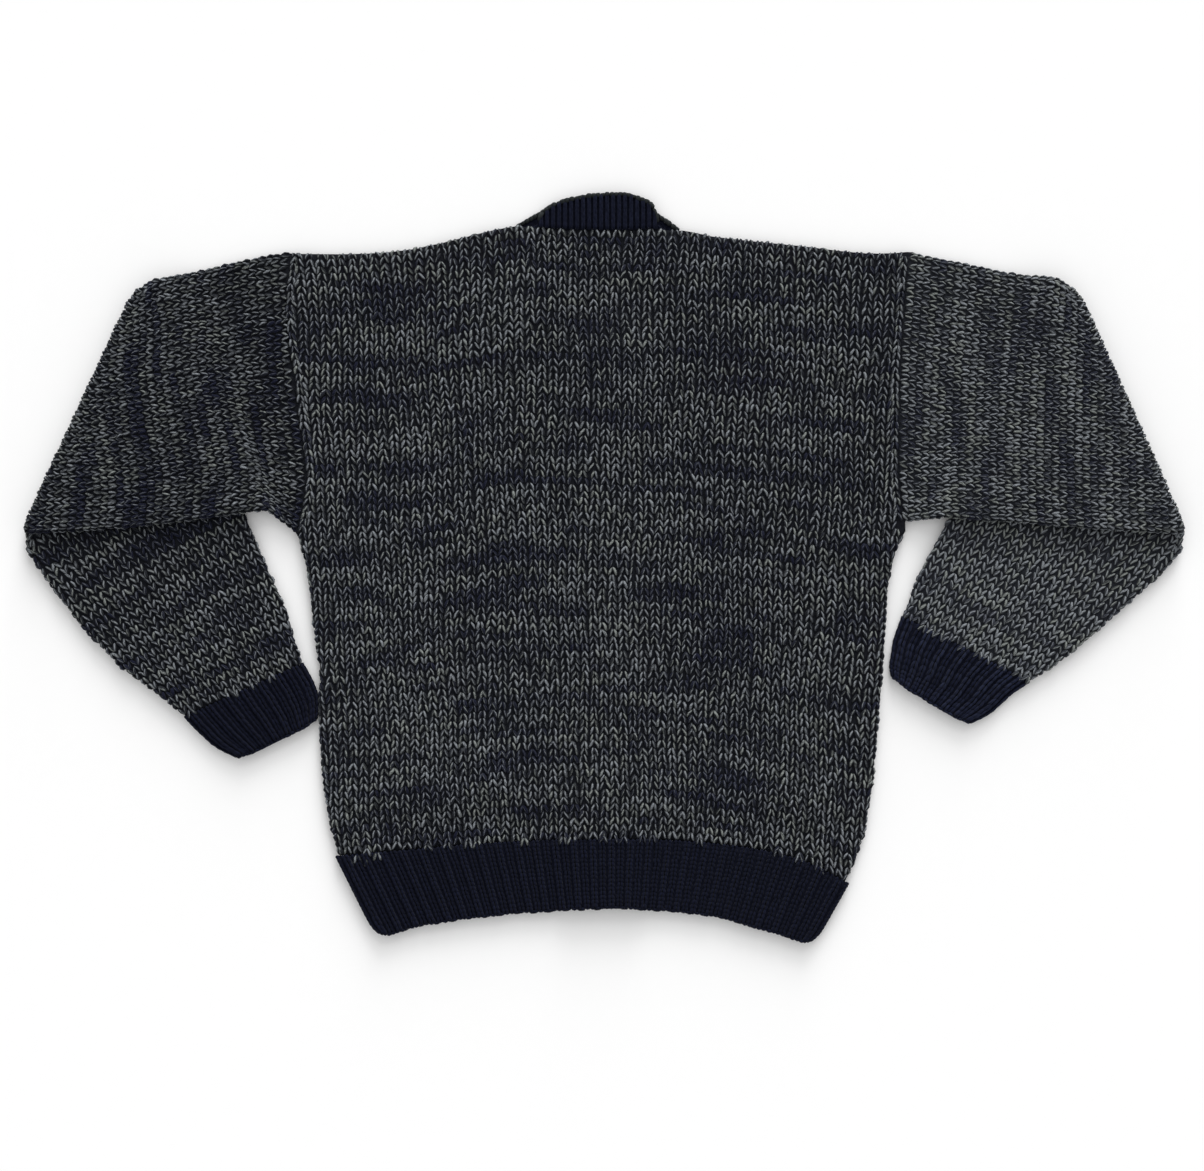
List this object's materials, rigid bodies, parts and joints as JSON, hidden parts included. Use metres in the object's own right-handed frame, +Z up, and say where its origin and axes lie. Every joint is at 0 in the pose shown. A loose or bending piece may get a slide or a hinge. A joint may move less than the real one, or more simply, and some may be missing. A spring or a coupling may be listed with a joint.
{
  "type": "cardigan",
  "caption": "Chunky marled hand-knit cardigan with ribbed navy neckband, cuffs and hem, laid out face down with its sleeves folded under at the elbows.",
  "frame": {"origin": "middle of the laid-out garment's bounding box, on the surface it lies on", "axes": "+X across the body to the right as seen from above, +Y up the body from the hem to the neck, +Z up from the surface"},
  "size_m": [1.1627, 0.7569, 0.0217],
  "materials": {
    "marled_knit": "bulky stocking stitch in yarn twisted from black, navy and grey plies, slightly fuzzy",
    "navy_rib": "solid dark navy ribbing, matt and slightly fuzzy",
    "button": "plain dark resin with a soft polish"
  },
  "bodies": {
    "root": {"back": "marled_knit", "front_left": "marled_knit", "front_right": "marled_knit", "sleeve_left": "marled_knit", "sleeve_right": "marled_knit", "hem_back": "navy_rib", "hem_front_left": "navy_rib", "hem_front_right": "navy_rib", "cuff_left": "navy_rib", "cuff_right": "navy_rib", "band_neck": "navy_rib", "band_left": "navy_rib", "band_right": "navy_rib", "button_1": "button", "button_2": "button", "button_3": "button", "button_4": "button", "button_5": "button"}
  },
  "joints": []
}
